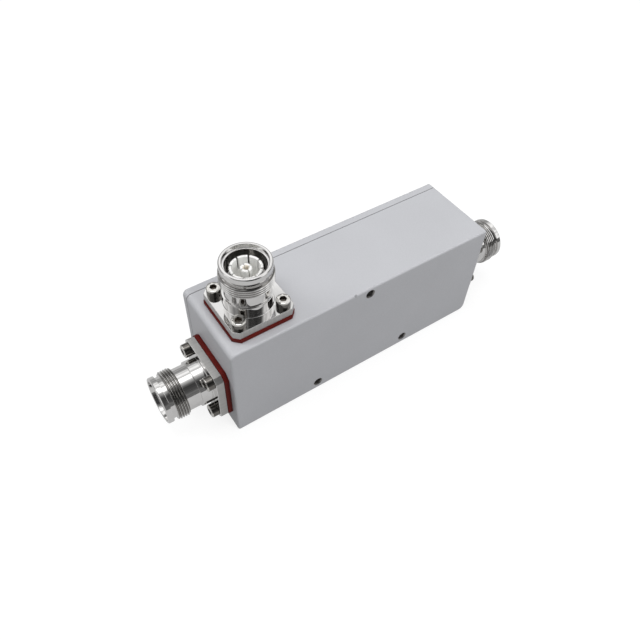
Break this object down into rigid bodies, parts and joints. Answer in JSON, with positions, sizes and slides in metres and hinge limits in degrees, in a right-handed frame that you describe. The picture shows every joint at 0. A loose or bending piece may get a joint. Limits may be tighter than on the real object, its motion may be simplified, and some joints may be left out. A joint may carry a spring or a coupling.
{
  "type": "directional coupler",
  "caption": "Cavity directional coupler: grey milled case with threaded coaxial jacks on both ends and a coupled jack on top, on red flange gaskets.",
  "frame": {"origin": "middle of the underside of the case, which is also the bottom centre of the whole box", "axes": "+X from the input to the output jack, +Z out of the coupled jack, -Y out of the face with the tapped mounting holes"},
  "size_m": [0.1708, 0.0376, 0.0734],
  "materials": {
    "case": "satin light grey paint",
    "plating": "bright white bronze plating",
    "contact": "bright silver plating",
    "gasket": "smooth silicone",
    "insulator": "moulded",
    "screw": "bright steel",
    "ceramic": "fired ceramic"
  },
  "bodies": {
    "root": {"housing": "case", "cover_plate": "case", "cover_screws": "screw", "main_line": "contact", "coupled_line": "contact", "main_line_posts": "insulator", "coupled_line_spacers": "insulator", "load_flange": "plating", "load_chip": "ceramic", "load_tab": "contact", "load_screws": "screw", "input_gasket": "gasket", "input_body": "plating", "input_basket": "contact", "input_insulator": "insulator", "input_contact": "contact", "input_screws": "screw", "output_gasket": "gasket", "output_body": "plating", "output_basket": "contact", "output_insulator": "insulator", "output_contact": "contact", "output_screws": "screw", "coupled_gasket": "gasket", "coupled_body": "plating", "coupled_basket": "contact", "coupled_insulator": "insulator", "coupled_contact": "contact", "coupled_screws": "screw"}
  },
  "joints": []
}
